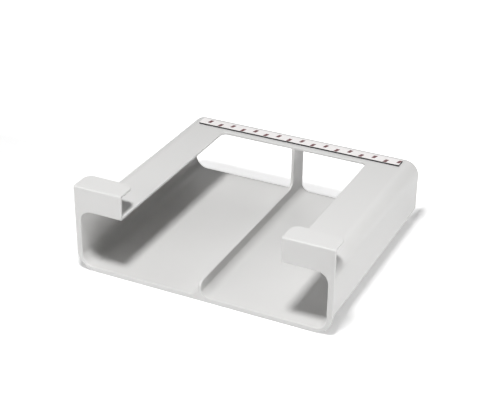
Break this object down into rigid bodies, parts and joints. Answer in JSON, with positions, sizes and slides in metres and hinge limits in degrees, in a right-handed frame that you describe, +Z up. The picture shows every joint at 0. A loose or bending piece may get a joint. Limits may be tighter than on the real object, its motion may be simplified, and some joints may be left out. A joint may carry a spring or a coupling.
{
  "type": "under-shelf wrap organizer",
  "caption": "Open-ended moulded tray with hooks that go over a shelf's front edge and a foam tape on its rear bar that sticks under the shelf, for rolls of kitchen wrap and foil.",
  "frame": {"origin": "bottom centre of the bounding box, under the middle of the tray and level with the front frame's foot", "axes": "+X to the right seen from the front, +Y from the front frame to the rear bar, +Z up"},
  "size_m": [0.28, 0.25, 0.095],
  "materials": {
    "tray_plastic": "satin moulded plastic, light warm grey",
    "foam": "closed-cell foam, near black",
    "adhesive": "thin film of clear acrylic adhesive",
    "liner": "smooth pale release film with small dark red marks"
  },
  "bodies": {
    "tray": {"tray_moulding": "tray_plastic", "lower_adhesive": "adhesive", "foam_core": "foam", "upper_adhesive": "adhesive"},
    "liner": {"release_liner": "liner"}
  },
  "joints": [
    {"name": "liner_lift", "type": "slide", "parent": "tray", "child": "liner", "axis": [0, 0, 1], "range_m": [0, 0.04]}
  ]
}
